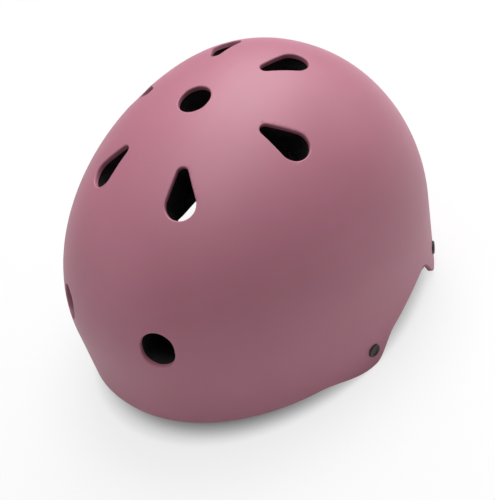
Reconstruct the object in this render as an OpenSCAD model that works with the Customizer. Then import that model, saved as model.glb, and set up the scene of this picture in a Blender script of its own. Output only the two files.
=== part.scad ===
/* [Shell] */
// Half the width of the shell on its widest line
shell_half_width = 105; // [101:1:110]
// Length of the shell ahead of the middle of its widest line
shell_front = 133; // [129:1:140]
// Length of the shell behind the middle of its widest line
shell_back = 118; // [113:1:124]
// Height of the crown above the widest line
crown_height = 113.5; // [109:0.5:118]
// Height of the widest line above the surface that the helmet stands on
skirt = 56; // [54:0.5:59]
// How far the top of the crown lies behind the middle of the widest line
crown_shift = 13.5; // [10:0.5:17]
// Growth in width towards the back, as a share per 100 mm
widening = 0.032; // [0:0.002:0.06]
// Roundness of the shell seen from above, where 2 is an ellipse
squareness = 2.12; // [2:0.02:2.3]
// Thickness of the shell wall
wall = 3; // [2.5:0.25:4]
// Chamfer along the outer edge of the rim
rim_edge = 0.8; // [0.4:0.1:1.2]

/* [Rim] */
// Height of the rim over the forehead
rim_front = 17; // [14:0.5:19]
// Height of the rim at the temples
rim_temple = 11.4; // [9:0.2:13]
// Angle from the front to the temple, where the rim starts to drop to the ear tab
temple_angle = 64; // [60:1:67]
// Angle from the front to the middle of the ear tab
tab_angle = 82; // [81:0.5:83]
// Angle over which the foot of the ear tab is flat
tab_flat = 1; // [0.5:0.5:3]
// Angle from the front to the middle of the ear tab's back edge
tab_back_angle = 90.5; // [89:0.5:92]
// Height of the middle of the ear tab's back edge
tab_back_height = 17; // [14:0.5:19]
// Height of the top of the ear cut-out
cutout_height = 29; // [26:0.5:30]
// Angle from the front to the top of the ear cut-out
cutout_angle = 109; // [106:0.5:110]
// Angle from the front to where the flat foot of the nape begins
nape_angle = 124; // [122:0.5:127]

/* [Vents] */
// Distance of the crown vent ahead of the middle of the helmet
crown_vent_ahead = 9.7; // [7:0.1:13]
// Radius of the crown vent
crown_vent_r = 9.5; // [8:0.5:11]
// Plan radius of the ring of teardrop vents about the crown vent
vent_ring = 57; // [54:0.5:60]
// Angle from the front to the front pair of teardrops
front_vent_angle = 30; // [26:1:34]
// Angle from the front to the side pair of teardrops
side_vent_angle = 97.5; // [94:0.5:101]
// Angle from the front to the rear pair of teardrops
rear_vent_angle = 155; // [151:1:159]
// Length of a teardrop vent
drop_length = 30; // [27:0.5:34]
// Radius of a teardrop's wide end
drop_wide_r = 8.8; // [7:0.1:10]
// Radius of a teardrop's narrow end
drop_tip_r = 3.5; // [2.5:0.5:5]
// Angle from the front to a forehead vent
brow_vent_angle = 21.4; // [18:0.1:24]
// Height of the forehead vents above the widest line
brow_vent_height = 21.5; // [17:0.5:25]
// Angle from the back to a rear vent
back_vent_angle = 15; // [13:1:18]
// Height of the rear vents above the widest line
back_vent_height = 16; // [14:0.5:18]
// Radius of a forehead or rear vent
round_vent_r = 10; // [8:0.2:12]
// Extra height of a forehead or rear vent over its width
round_vent_tall = 2.4; // [0:0.2:4]

/* [Liner] */
// Thickness of the foam liner
foam = 22; // [18:1:24]
// Gap between the liner and the shell
foam_gap = 0.6; // [0.55:0.05:0.7]
// How far a vent in the liner stands back from the one in the shell
vent_step = 0.8; // [0.4:0.1:1.2]
// Height of the liner's edge above the rim over the forehead and nape
liner_rise = 5.5; // [4:0.5:8]
// Height of the liner's edge above the front anchors
front_anchor_room = 15; // [13:0.5:18]
// Height of the liner's edge above the rear anchors
rear_anchor_room = 15; // [13:0.5:18]

/* [Pads] */
// Thickness of the comfort pads at their middle
pad_thick = 8; // [6:0.5:10]
// Thickness of a hook-and-loop patch behind a pad
patch_thick = 1; // [0.8:0.1:1.4]
// Radius of a hook-and-loop patch
patch_r = 9; // [7:0.5:11]
// Outer radius of the ring pad at the crown
crown_pad_r = 34; // [30:0.5:36]
// Radius of the hole in the ring pad
crown_pad_hole_r = 14; // [12:0.5:16]
// Half the angle that the brow pad covers
brow_pad_angle = 32; // [26:1:36]
// Half the angle that the nape pad covers
nape_pad_angle = 27; // [22:1:32]
// Half the angle that a side pad covers
side_pad_angle = 19; // [15:1:22]
// Half the height of the brow, nape and side pads
pad_half_height = 17; // [14:0.5:18]

/* [Anchors] */
// Angle from the front to a front rivet
front_rivet_angle = 82.2; // [81:0.2:83.4]
// Height of the front rivets
front_rivet_height = 13.5; // [12.5:0.5:15]
// Angle from the front to a rear rivet
rear_rivet_angle = 124.8; // [122.4:0.2:127]
// Height of the rear rivets
rear_rivet_height = 17.6; // [17.2:0.1:18.6]
// Lean of a front strap towards the back as it leaves its rivet
front_strap_lean = 38; // [34:1:42]
// Lean of a rear strap towards the front as it leaves its rivet
rear_strap_lean = 55; // [51:1:56]
// Slack of a rear strap below its rivet before it turns in
rear_strap_slack = 10; // [7:1:12]
// Radius of a rivet's head
rivet_head_r = 4.4; // [3.8:0.1:4.8]
// Radius of a rivet's shank
rivet_shank_r = 2.2; // [1.8:0.1:2.6]
// Radius of the washer behind the webbing
washer_r = 5; // [4.6:0.1:5.4]
// Thickness of the washer
washer_thick = 1.1; // [0.8:0.1:1.4]

/* [Webbing] */
// Width of the webbing
web_width = 15; // [13:0.5:16]
// Thickness of the webbing
web_thick = 1.4; // [1.2:0.1:1.6]
// Gap between the webbing and the shell wall at a rivet
web_gap = 0.85; // [0.8:0.05:0.95]
// Distance from the shell's side in to a strap divider
divider_inset = 41; // [38:0.5:44]
// Distance of the dividers behind the middle of the helmet
divider_back = 16; // [12:0.5:20]
// Angle in plan between a chin strap and the line across the helmet
chin_angle = 16; // [15:0.5:18]
// Length of a chin strap from its divider to its bar
chin_length = 70; // [66:1:74]
// Length of the spare end folded back along the right chin strap
tail_length = 36; // [28:1:40]

/* [Dividers] */
// Thickness of a strap divider
divider_thick = 5; // [4.6:0.2:6]
// Radius from a divider's middle to its mouths
divider_reach = 13; // [12.5:0.5:14]

/* [Buckle] */
// Width of the buckle socket
socket_width = 32; // [30:0.5:34]
// Length of the buckle socket from its mouth to its back wall
socket_length = 28; // [27:0.5:30]
// Thickness of the buckle
buckle_thick = 9; // [8.4:0.2:10]
// Thickness of the socket's side walls
socket_wall = 3.2; // [2.8:0.1:3.6]
// Thickness of the socket's upper and lower plates
socket_plate = 1.8; // [1.4:0.1:2.2]
// Length of the side wall that holds the prongs, at the mouth
catch_length = 11; // [10:0.5:12]
// Radius of the bars that the webbing goes round
bar_r = 1.5; // [1.3:0.1:1.8]
// Play of the plug and its prongs in the socket
buckle_play = 0.3; // [0.2:0.05:0.4]
// Width of a prong's arm
prong_arm = 3; // [2.6:0.1:3.4]

/* [Chin pad and keeper] */
// Length of the chin pad
chin_pad_length = 26; // [22:1:28]
// Width of the chin pad
chin_pad_width = 24; // [21:0.5:26]
// Thickness of the chin pad
chin_pad_thick = 9; // [8:0.2:9]
// Distance of the strap keeper from the bar of the buckle
keeper_from_bar = 26; // [24:1:28]
// Width of the strap keeper along the strap
keeper_width = 6; // [4:0.5:8]
// Thickness of the strap keeper's wall
keeper_wall = 1.6; // [1.2:0.1:2]

/* [Detail] */
// Faces around the shell
shell_around = 64; // [48:4:96]
// Rows of faces from the shell's crown to its widest line
shell_rows = 13; // [8:1:18]
// Faces around the liner
liner_around = 56; // [48:4:72]
// Rows of faces from the liner's crown to its widest line
liner_rows = 10; // [8:1:14]

/* [Hidden] */
$fn = 32;

// Middle of the helmet's length, so that it stands about the origin
y_mid = (shell_front - shell_back) / 2;
// Depth of the liner's inner face below the shell's outer face
liner_depth = wall + foam_gap + foam;
// Gap that a soft piece keeps from what carries it
seat = 0.3;
// How far the liner's flat faces stand in from its true curve
liner_sag = shell_front * (1 - cos(90 / liner_rows / 2));
// Depth of a pad's back below the shell's outer face
pad_depth = liner_depth + liner_sag + seat + patch_thick + seat;
// Depth of the middle of the webbing below the shell's outer face at a rivet
web_depth = wall + web_gap + web_thick / 2;
// Height of the middle of the webbing in the dividers and in the buckle
divider_level = 0.3 + divider_thick / 2;
buckle_level = 0.3 + buckle_thick / 2;
divider_at = [shell_half_width - divider_inset, divider_back, divider_level];
// Radius at which the middle of the webbing goes round a bar
wrap_r = bar_r + 0.25 + web_thick / 2;
crown_vent_at = [0, -crown_vent_ahead];

pink = [0.72, 0.47, 0.54];
black = [0.09, 0.09, 0.10];
charcoal = [0.17, 0.17, 0.18];
dark_grey = [0.25, 0.24, 0.23];

// Vectors
function unit(v) = v / norm(v);
function ease(t) = (1 - cos(180 * t)) / 2;
function bezier(a, b, c, d, t) =
    pow(1 - t, 3) * a + 3 * t * pow(1 - t, 2) * b + 3 * t * t * (1 - t) * c + pow(t, 3) * d;

// The helmet's skin: u is the angle from the front, h the height over the widest line
function bulge(c) = sign(c) * pow(abs(c), 2 / squareness);
function skin(u, h, inset = 0) =
    let (t = max(0, min(1, h / (crown_height - inset))),
         r = sqrt(1 - t * t),
         reach = (cos(u) > 0 ? shell_front : shell_back) - inset,
         y = -reach * r * bulge(cos(u)),
         x = (shell_half_width - inset) * r * bulge(sin(u)) * (1 + widening * y / 100))
    [x, y + crown_shift * t * t + y_mid, h + skirt];
function skin_normal(u, h, inset = 0) =
    unit(cross(skin(u + 1, h, inset) - skin(u - 1, h, inset),
               skin(u, h + 1, inset) - skin(u, h - 1, inset)));

// Height of the skin over a point of the plan, found by going round a few times
function rise2(x, y, inset, t2, turns) =
    let (v = y - y_mid - crown_shift * t2,
         reach = (v < 0 ? shell_front : shell_back) - inset,
         half = (shell_half_width - inset) * (1 + widening * v / 100),
         r = pow(pow(abs(x) / half, squareness) + pow(abs(v) / reach, squareness), 1 / squareness),
         next = max(0, 1 - r * r))
    turns == 0 ? next : rise2(x, y, inset, next, turns - 1);
function over(x, y, inset = 0) =
    [x, y, skirt + (crown_height - inset) * sqrt(rise2(x, y, inset, 0.8, 12))];
function over_normal(x, y, inset = 0) =
    unit(cross(over(x + 1, y, inset) - over(x - 1, y, inset),
               over(x, y + 1, inset) - over(x, y - 1, inset)));

// Heights along an edge: a smooth curve through its stations of angle and height, level at each crest
function rate(a, b) = (b[1] - a[1]) / (b[0] - a[0]);
function slope(stations, i) =
    i < 1 || i > len(stations) - 2 ? 0 :
    let (a = rate(stations[i - 1], stations[i]), b = rate(stations[i], stations[i + 1]))
    a * b <= 0 ? 0 : 2 * a * b / (a + b);
function along(stations, u, i = 0) =
    i > len(stations) - 2 ? stations[len(stations) - 1][1] :
    u > stations[i + 1][0] ? along(stations, u, i + 1) :
    let (a = stations[i], b = stations[i + 1], w = b[0] - a[0], t = (u - a[0]) / w)
    (1 + 2 * t) * pow(1 - t, 2) * a[1] + t * t * (3 - 2 * t) * b[1]
        + w * t * (1 - t) * ((1 - t) * slope(stations, i) - t * slope(stations, i + 1));
function from_front(u) = abs(u > 180 ? u - 360 : u);
shell_edge = [[0, rim_front], [temple_angle, rim_temple], [tab_angle - tab_flat / 2, 0],
    [tab_angle + tab_flat / 2, 0], [tab_back_angle, tab_back_height],
    [cutout_angle, cutout_height], [nape_angle, 0], [180, 0]];
front_edge_height = front_rivet_height + front_anchor_room;
rear_edge_height = rear_rivet_height + rear_anchor_room;
liner_edge = [[0, rim_front + liner_rise], [front_rivet_angle - 24, rim_temple + liner_rise],
    [front_rivet_angle - 9, front_edge_height], [front_rivet_angle + 9, front_edge_height],
    [rear_rivet_angle - 19, rear_edge_height], [rear_rivet_angle + 9, rear_edge_height],
    [nape_angle + 26, liner_rise], [180, liner_rise]];

// A dome of points, crown first, whose rows of points crowd together at the ears
function turn_angle(i, around) = 360 * i / around + 10 * sin(720 * i / around);
function dome(around, rows, low_rows, edge, inset, lift = 0) = concat(
    [skin(0, crown_height - inset, inset)],
    [for (j = [1:rows], i = [0:around - 1])
        skin(turn_angle(i, around), (crown_height - inset) * cos(90 * j / rows), inset)],
    [for (j = [1:low_rows], i = [0:around - 1])
        let (u = turn_angle(i, around))
        skin(u, (along(edge, from_front(u)) + lift - skirt) * j / low_rows, inset)]);
function edge_ring(around, edge, inset) =
    [for (i = [0:around - 1])
        let (u = turn_angle(i, around)) skin(u, along(edge, from_front(u)) - skirt, inset)];

// Triangles between two rings of points that start at a and b, and from a point to a ring
function band(around, a, b) = [for (i = [0:around - 1]) let (k = (i + 1) % around)
    each [[a + i, a + k, b + i], [a + k, b + k, b + i]]];
function fan(around, tip, ring) = [for (i = [0:around - 1])
    [tip, ring + (i + 1) % around, ring + i]];
function bands(around, rings, first) = [for (j = [0:rings - 2])
    each band(around, first + j * around, first + (j + 1) * around)];
function flip(faces) = [for (f = faces) [f[2], f[1], f[0]]];

// A closed wall between an outer dome and an inner one, joined along their edges
module domed_wall(around, rows, low_rows, edge, outer, inner, bevel) {
    outside = concat(dome(around, rows, low_rows, edge, outer, bevel),
        edge_ring(around, edge, outer + bevel));
    inside = dome(around, rows, low_rows, edge, inner);
    rings = rows + low_rows;
    start = len(outside);
    polyhedron(points = concat(outside, inside), faces = concat(
        fan(around, 0, 1), bands(around, rings + 1, 1),
        band(around, 1 + rings * around, start + 1 + (rings - 1) * around),
        flip(fan(around, start, start + 1)), flip(bands(around, rings, start + 1))));
}

// Vents, each cut square to the skin
module on_skin(p, n, dir) {
    side = unit(cross(n, dir));
    ahead = cross(side, n);
    multmatrix([[ahead.x, side.x, n.x, p.x], [ahead.y, side.y, n.y, p.y],
        [ahead.z, side.z, n.z, p.z], [0, 0, 0, 1]]) children();
}
module vent(p, n, dir, wide, tip, long, grow) {
    on_skin(p, n, dir) hull() {
        translate([long / 2 - wide, 0, -foam * 2]) cylinder(r = wide + grow, h = foam * 3, $fn = 28);
        translate([tip - long / 2, 0, -foam * 2]) cylinder(r = tip + grow, h = foam * 3, $fn = 28);
    }
}
module vents(grow) {
    c = crown_vent_at;
    vent(over(c.x, c.y), over_normal(c.x, c.y), [0, 1, 0], crown_vent_r, crown_vent_r,
        2 * crown_vent_r + 1, grow);
    for (a = [front_vent_angle, side_vent_angle, rear_vent_angle], side = [-1, 1]) {
        out = [side * sin(a), -cos(a)];
        p = c + vent_ring * out;
        vent(over(p.x, p.y), over_normal(p.x, p.y), [out.x, out.y, 0], drop_wide_r, drop_tip_r,
            drop_length, grow);
    }
    for (side = [-1, 1]) {
        vent(skin(side * brow_vent_angle, brow_vent_height),
            skin_normal(side * brow_vent_angle, brow_vent_height), [0, 0, 1], round_vent_r,
            round_vent_r, 2 * round_vent_r + round_vent_tall, grow);
        vent(skin(180 - side * back_vent_angle, back_vent_height),
            skin_normal(180 - side * back_vent_angle, back_vent_height), [0, 0, 1], round_vent_r,
            round_vent_r, 2 * round_vent_r + round_vent_tall, grow);
    }
}

// Anchors on the left side: a front one on the ear tab and a rear one behind the ear
module at_anchor(angle, height) {
    on_skin(skin(angle, height - skirt), skin_normal(angle, height - skirt), [0, 0, 1]) children();
}
module at_anchors() {
    for (side = [0, 1]) mirror([side, 0, 0]) {
        at_anchor(front_rivet_angle, front_rivet_height) children();
        at_anchor(rear_rivet_angle, rear_rivet_height) children();
    }
}

module outer_shell() color(pink) difference() {
    domed_wall(shell_around, shell_rows, 4, shell_edge, 0, wall, rim_edge);
    vents(0);
    at_anchors() translate([0, 0, -wall - 3]) cylinder(r = rivet_shank_r + 0.1, h = wall + 6, $fn = 20);
}

module foam_liner() color(black) difference() {
    domed_wall(liner_around, liner_rows, 3, liner_edge, wall + foam_gap, liner_depth, 1.5);
    vents(vent_step);
}

// Cushions: rings of points on the liner's face, swelling towards the head, with drawn-in sides
pad_rings = 4;
pad_around = 28;
patch_rings = 2;
patch_around = 16;
function swell(r) = 0.45 + 0.55 * sqrt(1 - pow(r, 4));
function corner(c) = sign(c) * sqrt(abs(c));
function wall_patch(u, h, du, dh, depth, thick, full, around, rings) = [
    for (j = [0:rings], i = [0:(j == 0 ? 0 : around - 1)])
        let (r = sin(90 * j / rings), a = 360 * i / around)
        skin(u + du * r * corner(cos(a)), h + dh * r * corner(sin(a)),
            depth + thick * (full ? 1 : swell(r)))];
module wall_cushion(u, h, du, dh, depth, thick, full = false, around = pad_around, rings = pad_rings) {
    back = wall_patch(u, h, du, dh, depth, 0, true, around, rings);
    n = len(back);
    polyhedron(points = concat(back, wall_patch(u, h, du, dh, depth, thick, full, around, rings)),
        faces = concat(fan(around, 0, 1), bands(around, rings, 1),
            band(around, n - around, 2 * n - around),
            flip(fan(around, n, n + 1)), flip(bands(around, rings, n + 1))));
}
function ring_patch(depth, thick, inner, outer, full, around, steps) = [
    for (j = [0:steps], i = [0:around - 1])
        let (q = -cos(180 * j / steps), a = 360 * i / around,
             r = (inner + outer) / 2 + (outer - inner) / 2 * q)
        over(crown_vent_at.x + r * cos(a), crown_vent_at.y + r * sin(a),
            depth + thick * (full ? 1 : swell(q)))];
module ring_cushion(depth, thick, inner, outer, full = false, around = pad_around, steps = 6) {
    back = ring_patch(depth, 0, inner, outer, true, around, steps);
    n = len(back);
    polyhedron(points = concat(back, ring_patch(depth, thick, inner, outer, full, around, steps)),
        faces = concat(bands(around, steps + 1, 0), band(around, n - around, 2 * n - around),
            flip(band(around, 0, n)), flip(bands(around, steps + 1, n))));
}

brow_pad_height = brow_vent_height - round_vent_r - round_vent_tall / 2 - 2 - pad_half_height;
nape_pad_height = back_vent_height - round_vent_r - round_vent_tall / 2 - 2 - pad_half_height;
side_pad_at = (front_rivet_angle + rear_rivet_angle) / 2 - 10;
side_pad_height = rear_edge_height - skirt + 6 + pad_half_height;

module crown_pad() color(charcoal)
    ring_cushion(pad_depth, pad_thick, crown_pad_hole_r, crown_pad_r);
module brow_pad() color(charcoal)
    wall_cushion(0, brow_pad_height, brow_pad_angle, pad_half_height, pad_depth, pad_thick);
module nape_pad() color(charcoal)
    wall_cushion(180, nape_pad_height, nape_pad_angle, pad_half_height, pad_depth, pad_thick);
module side_pad_left() color(charcoal)
    wall_cushion(side_pad_at, side_pad_height, side_pad_angle, pad_half_height, pad_depth, pad_thick);
module side_pad_right() mirror([1, 0, 0]) side_pad_left();

// A patch sits between the liner and each pad, and a ring of it behind the crown pad
module pad_patches() color(black) {
    patch_depth = liner_depth + liner_sag + seat;
    ring_mid = (crown_pad_hole_r + crown_pad_r) / 2;
    ring_cushion(patch_depth, patch_thick, ring_mid - patch_r / 2, ring_mid + patch_r / 2, true,
        pad_around, patch_rings);
    for (spot = [[0, brow_pad_height], [180, nape_pad_height],
            [side_pad_at, side_pad_height], [-side_pad_at, side_pad_height]])
        wall_cushion(spot.x, spot.y, asin(patch_r / (shell_half_width - liner_depth)) * 0.85,
            patch_r, patch_depth, patch_thick, true, patch_around, patch_rings);
}

// Rivets through the shell, the webbing and a washer
rivet_lift = 0.08;
washer_back = web_depth + web_thick / 2 + 0.1;
clinch_back = washer_back + washer_thick + 0.05;
module strap_rivets() color(dark_grey) at_anchors() rotate_extrude()
    polygon([[0, 0.2], [rivet_head_r * 0.42, 0.2], [rivet_head_r * 0.62, 0.5], [rivet_head_r - 1, 1.25],
        [rivet_head_r - 0.5, 1.25], [rivet_head_r, 0.7], [rivet_head_r, rivet_lift],
        [rivet_shank_r, rivet_lift], [rivet_shank_r, -clinch_back],
        [washer_r - 1.4, -clinch_back], [washer_r - 1.8, -clinch_back - 0.8],
        [0, -clinch_back - 0.8]]);
module rivet_washers() color(charcoal) at_anchors() translate([0, 0, -washer_back - washer_thick])
    difference() {
        cylinder(r = washer_r, h = washer_thick);
        translate([0, 0, -1]) cylinder(r = rivet_shank_r + 0.1, h = washer_thick + 2);
    }

// Webbing: a flat band through points, with the direction of its width at each point
function tangent(p, i) = unit(p[min(i + 1, len(p) - 1)] - p[max(i - 1, 0)]);
function square_to(v, t) = unit(v - (v * t) * t);
module webbing(path, across) {
    corners = [for (i = [0:len(path) - 1])
        let (t = tangent(path, i), w = square_to(across[i], t) * web_width / 2,
             n = cross(t, w) / norm(w) * web_thick / 2)
        each [path[i] + w + n, path[i] + w - n, path[i] - w - n, path[i] - w + n]];
    last = len(corners) - 4;
    polyhedron(points = corners, faces = concat([[3, 2, 1], [3, 1, 0]],
        bands(4, len(path), 0),
        [[last, last + 1, last + 2], [last, last + 2, last + 3]]));
}

// From a rivet down the wall, under the rim and over the floor to a mouth of the divider
mouth_angle = 42;
chin_mouth = divider_reach - 3.5;
over_rivet = 7;
under_rivet = washer_r + 0.6;
front_strap_slack = 6;
strap_lead = 16;
strap_dip = 1;
module anchor_strap(angle, height, lean, slack, mouth) {
    n = skin_normal(angle, height - skirt);
    hole = skin(angle, height - skirt) - web_depth * n;
    back = [-n.y, n.x, 0];
    down = unit([0, 0, -cos(lean)] - sin(lean) * back);
    heel = hole + under_rivet * down;
    dir = -[cos(mouth), sin(mouth), 0];
    goal = divider_at - chin_mouth * dir;
    path = concat([hole - over_rivet * down, hole],
        [for (k = [0:9]) bezier(heel, heel + slack * down, goal - strap_lead * dir - [0, 0, strap_dip],
            goal, k / 9)]);
    start = cross(down, n);
    end = cross(dir, [0, 0, -1]);
    difference() {
        webbing(path, [for (i = [0:len(path) - 1])
            let (k = ease(max(0, i - 2) / (len(path) - 3))) start * (1 - k) + end * k]);
        at_anchor(angle, height) translate([0, 0, -clinch_back - 3])
            cylinder(r = rivet_shank_r + 0.1, h = clinch_back + 3);
    }
}
module front_strap_left() color(charcoal)
    anchor_strap(front_rivet_angle, front_rivet_height, -front_strap_lean, front_strap_slack, -mouth_angle);
module front_strap_right() mirror([1, 0, 0]) front_strap_left();
module rear_strap_left() color(charcoal)
    anchor_strap(rear_rivet_angle, rear_rivet_height, rear_strap_lean, rear_strap_slack, mouth_angle);
module rear_strap_right() mirror([1, 0, 0]) rear_strap_left();

// A covered strap divider: two mouths for the anchored straps and one for the chin strap
mouth_depth = 0.36 * divider_reach;
dish_r = 0.4 * divider_reach;
module strap_divider(chin) color(charcoal) translate([divider_at.x, divider_at.y, 0]) {
    mouth_half = web_width / 2 + 1.6;
    mouths = [180 + chin, -mouth_angle, mouth_angle];
    difference() {
        hull() for (a = mouths, s = [-1, 1])
            rotate([0, 0, a]) translate([divider_reach - 1.6, s * (mouth_half - 0.4), divider_level]) {
                cylinder(r = 1.6, h = divider_thick - 2, center = true);
                cylinder(r = 0.8, h = divider_thick, center = true);
            }
        for (a = mouths) rotate([0, 0, a])
            translate([divider_reach - mouth_depth, 1 - mouth_half, divider_level - web_thick / 2 - 0.4])
                cube([2 * mouth_depth, 2 * mouth_half - 2, web_thick + 0.8]);
        translate([0, 0, divider_level + divider_thick / 2 - 0.6]) cylinder(r = dish_r, h = 2);
    }
}
module strap_divider_left() strap_divider(chin_angle);
module strap_divider_right() mirror([1, 0, 0]) strap_divider(-chin_angle);

// Each chin strap runs along its own line, from the chin mouth of its divider
module on_left_chin() translate([divider_at.x, divider_at.y, 0])
    rotate([0, 0, 180 + chin_angle]) translate([chin_mouth, 0, 0]) children();
module on_right_chin() translate([-divider_at.x, divider_at.y, 0])
    rotate([0, 0, chin_angle]) translate([chin_mouth, 0, 0]) children();
layer = web_thick + 0.3;
chin_level = 4;
climb = 10;
bar_rise = 12;
module chin_strap(back_length) {
    out = concat(
        [[0, 0, divider_level]],
        [for (k = [0:4]) [chin_level + climb * k / 4, 0,
            divider_level + (buckle_level - divider_level) * ease(k / 4)]],
        [for (k = [0:6]) [chin_length - bar_rise + 2 * k, 0, buckle_level + wrap_r * ease(k / 6)]]);
    round = [for (a = [60:-30:-60])
        [chin_length + wrap_r * cos(a), 0, buckle_level + wrap_r * sin(a)]];
    home = concat(
        [for (k = [0:6]) [chin_length - 2 * k, 0, buckle_level - wrap_r + (wrap_r - layer) * ease(k / 6)]],
        [[chin_length - back_length, 0, buckle_level - layer]]);
    path = concat(out, round, home);
    webbing(path, [for (p = path) [0, 1, 0]]);
}
module chin_strap_left() color(charcoal) on_left_chin() chin_strap(bar_rise + 6);
module chin_strap_right() color(charcoal) on_right_chin() chin_strap(tail_length);

// A padded sleeve with a slot for the chin strap
pad_start = 16;
sleeve_around = 24;
sleeve_slot = [web_width / 2 + 0.6, web_thick / 2 + 0.5];
sleeve_stations = [0, 0.05, 0.14, 0.32, 0.68, 0.86, 0.95, 1];
function sleeve_fill(s) = 0.72 + 0.28 * sqrt(1 - pow(2 * s - 1, 6));
function sleeve_section(s, half) = [for (i = [0:sleeve_around - 1])
    let (a = 360 * i / sleeve_around)
    [pad_start + chin_pad_length * s, half.x * corner(cos(a)), buckle_level + half.y * corner(sin(a))]];
module chin_pad() color(black) on_left_chin() {
    outer = [for (s = sleeve_stations) each sleeve_section(s,
        [chin_pad_width / 2 * (0.9 + 0.1 * sleeve_fill(s)), chin_pad_thick / 2 * sleeve_fill(s)])];
    inner = [for (s = [0, 1]) each sleeve_section(s, sleeve_slot)];
    n = len(outer);
    k = sleeve_around;
    polyhedron(points = concat(outer, inner), faces = concat(
        flip(bands(k, len(sleeve_stations), 0)), bands(k, 2, n),
        band(k, 0, n), flip(band(k, n - k, n + k))));
}

// The buckle: a socket, and a plug with two prongs that are squeezed to let it go
socket_back = chin_length + wrap_r + web_thick / 2 + 0.5;
socket_mouth = socket_back + socket_length;
cavity_half = socket_width / 2 - socket_wall;
cavity_rise = buckle_thick / 2 - socket_plate;
bar_half = web_width / 2 + 0.8;
grip_r = 12.2;
grip_depth = 2.2;
module strap_bar(to, thick) {
    translate([chin_length, 0, buckle_level]) rotate([90, 0, 0])
        cylinder(r = bar_r, h = 2 * bar_half + 4, center = true);
    for (s = [-1, 1]) translate([chin_length - 2, s > 0 ? bar_half : -bar_half - 4, buckle_level - thick / 2])
        cube([to - chin_length + 2, 4, thick]);
}
module rounded_block(x0, x1, half, thick, r) {
    hull() for (x = [x0 + r, x1 - r], s = [-1, 1]) translate([x, s * (half - r), buckle_level]) {
        cylinder(r = r, h = thick - 1.6, center = true);
        cylinder(r = r - 0.8, h = thick, center = true);
    }
}
module buckle_socket() color(black) on_left_chin() difference() {
    union() {
        rounded_block(socket_back, socket_mouth, socket_width / 2, buckle_thick, 3);
        strap_bar(socket_back + 3, buckle_thick - 2);
    }
    translate([socket_back + 2.6, -cavity_half, buckle_level - cavity_rise])
        cube([socket_length, 2 * cavity_half, 2 * cavity_rise]);
    for (s = [-1, 1]) {
        translate([socket_back + 4.5, s > 0 ? cavity_half - 1 : -cavity_half - 5, buckle_level - cavity_rise])
            cube([socket_length - 4.5 - catch_length, 6, 2 * cavity_rise]);
        translate([socket_back + 4.5 + (socket_length - 4.5 - catch_length) / 2,
            s * (socket_width / 2 + grip_r - grip_depth), 0])
            cylinder(r = grip_r, h = 3 * buckle_thick, center = true, $fn = 64);
    }
}

// The plug reaches into the socket as far as its base, and its barbs lie past the catch
plug_front = socket_back + 8;
prong_at = [plug_front - 0.5, cavity_half - 4.4];
knuckle_r = 1.9;
prong_thick = 2 * (cavity_rise - buckle_play);
tongue_half = 3;
module buckle_plug() color(black) on_right_chin() {
    difference() {
        union() {
            rounded_block(socket_back, plug_front, socket_width / 2 - 1, buckle_thick, 2);
            strap_bar(socket_back + 3, buckle_thick - 2);
        }
        for (s = [-1, 1]) translate([prong_at.x, s * prong_at.y, buckle_level])
            cylinder(r = knuckle_r + 0.08, h = 2 * buckle_thick, center = true);
    }
    translate([plug_front - 1, -tongue_half, buckle_level - prong_thick / 2])
        cube([socket_length - 6, 2 * tongue_half, prong_thick]);
    translate([plug_front + socket_length - 7, 0, buckle_level])
        cylinder(r = tongue_half, h = prong_thick, center = true);
}
barb_out = cavity_half + 1.6 - prong_at.y;
module prong(side) on_right_chin() translate([prong_at.x, side * prong_at.y, buckle_level]) {
    cylinder(r = knuckle_r, h = prong_thick, center = true);
    translate([0, 0, -prong_thick / 2]) mirror([0, side < 0 ? 1 : 0, 0]) linear_extrude(prong_thick) {
        hull() {
            translate([knuckle_r, 0]) circle(r = prong_arm / 2 - 0.1);
            translate([catch_length + 2, 0.9]) circle(r = prong_arm / 2);
        }
        polygon([[catch_length + 1, 0], [catch_length + 0.9, barb_out], [catch_length + 5, barb_out + 0.7],
            [catch_length + 8, barb_out], [catch_length + 11.5, 1.4], [catch_length + 11.5, -0.6],
            [catch_length + 9, -0.9], [catch_length + 1, -0.6]]);
    }
}
module prong_front() color(black) prong(-1);
module prong_rear() color(black) prong(1);

// The keeper rides on the chin strap and its spare end
keeper_at = chin_length - keeper_from_bar;
module strap_keeper() color(black) on_right_chin() translate([keeper_at, 0, buckle_level - layer / 2]) {
    slot_half = [web_width / 2 + 0.4, (web_thick + layer) / 2 + 0.3];
    difference() {
        cube([keeper_width, 2 * (slot_half.x + keeper_wall), 2 * (slot_half.y + keeper_wall)], center = true);
        cube([keeper_width + 2, 2 * slot_half.x, 2 * slot_half.y], center = true);
    }
}

outer_shell();
foam_liner();
crown_pad();
brow_pad();
nape_pad();
side_pad_left();
side_pad_right();
pad_patches();
strap_rivets();
rivet_washers();
front_strap_left();
front_strap_right();
rear_strap_left();
rear_strap_right();
strap_divider_left();
strap_divider_right();
chin_strap_left();
chin_strap_right();
chin_pad();
buckle_socket();
buckle_plug();
prong_front();
prong_rear();
strap_keeper();
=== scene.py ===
import bpy, bmesh, math
import numpy as np
from mathutils import Matrix, Vector


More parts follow.
